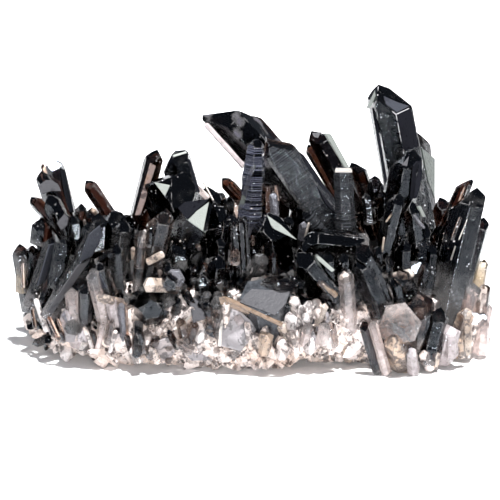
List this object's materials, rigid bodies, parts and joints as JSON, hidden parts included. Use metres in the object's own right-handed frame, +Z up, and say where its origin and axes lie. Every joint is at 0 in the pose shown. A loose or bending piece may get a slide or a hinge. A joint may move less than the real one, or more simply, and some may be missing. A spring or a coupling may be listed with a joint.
{
  "type": "smoky quartz cluster",
  "caption": "Cluster of dark, six-sided smoky quartz crystals with pointed tips, leaning many ways out of a pale, crusty root mass cut flat to stand on a shelf.",
  "frame": {"origin": "Middle of the cluster's bounding box, on the flat underside that it rests on.", "axes": "X runs along the length, from the left end to the end with the tallest crystal. Y runs back from the front face. Z is up."},
  "size_m": [0.1488, 0.082, 0.0811],
  "materials": {
    "pale_quartz": "milky, rough",
    "brown_quartz": "polished natural faces",
    "dark_quartz": "polished natural faces"
  },
  "bodies": {
    "root": {"quartz_base": "pale_quartz", "left_brown_crystal": "brown_quartz", "left_low_crystal": "brown_quartz", "slim_brown_crystal": "brown_quartz", "middle_brown_crystal": "brown_quartz", "right_brown_blade": "brown_quartz", "clear_smoky_crystal": "brown_quartz", "clear_front_crystal": "brown_quartz", "right_end_back_crystal": "brown_quartz", "left_twin_back": "dark_quartz", "left_twin_front": "dark_quartz", "left_shoots": "dark_quartz", "long_left_blade": "dark_quartz", "short_left_blade": "dark_quartz", "left_shoulder_crystals": "dark_quartz", "left_tall_blade": "dark_quartz", "left_facing_crystals": "dark_quartz", "middle_left_crystals": "dark_quartz", "bluish_left_crystal": "dark_quartz", "left_front_point": "dark_quartz", "left_front_blade": "dark_quartz", "left_dark_point": "dark_quartz", "front_left_column": "dark_quartz", "front_left_black_point": "dark_quartz", "front_hex_point": "dark_quartz", "middle_small_crystals": "dark_quartz", "great_leaning_pair": "dark_quartz", "rippled_crystal": "dark_quartz", "central_striated_crystal": "dark_quartz", "middle_right_crystals": "dark_quartz", "grey_upright_crystal": "dark_quartz", "dark_wedge_crystal": "dark_quartz", "tallest_crystal": "dark_quartz", "right_black_crystal": "dark_quartz", "right_grey_crystal": "dark_quartz", "right_back_crystal": "dark_quartz", "right_end_crystals": "dark_quartz", "rough_right_crystal": "dark_quartz", "right_leaning_crystal": "dark_quartz", "lying_crystal": "dark_quartz", "black_front_crystal": "dark_quartz", "front_dark_crystal": "dark_quartz", "right_front_black_crystal": "dark_quartz", "front_plate_crystal": "dark_quartz", "ribbed_front_crystal": "dark_quartz", "centre_needles": "dark_quartz", "middle_front_crystals": "dark_quartz", "back_left_crystals": "dark_quartz", "back_low_left_crystal": "dark_quartz", "back_middle_crystals": "dark_quartz", "back_tall_crystal": "dark_quartz", "back_right_crystals": "dark_quartz", "back_low_right_crystal": "dark_quartz"}
  },
  "joints": []
}
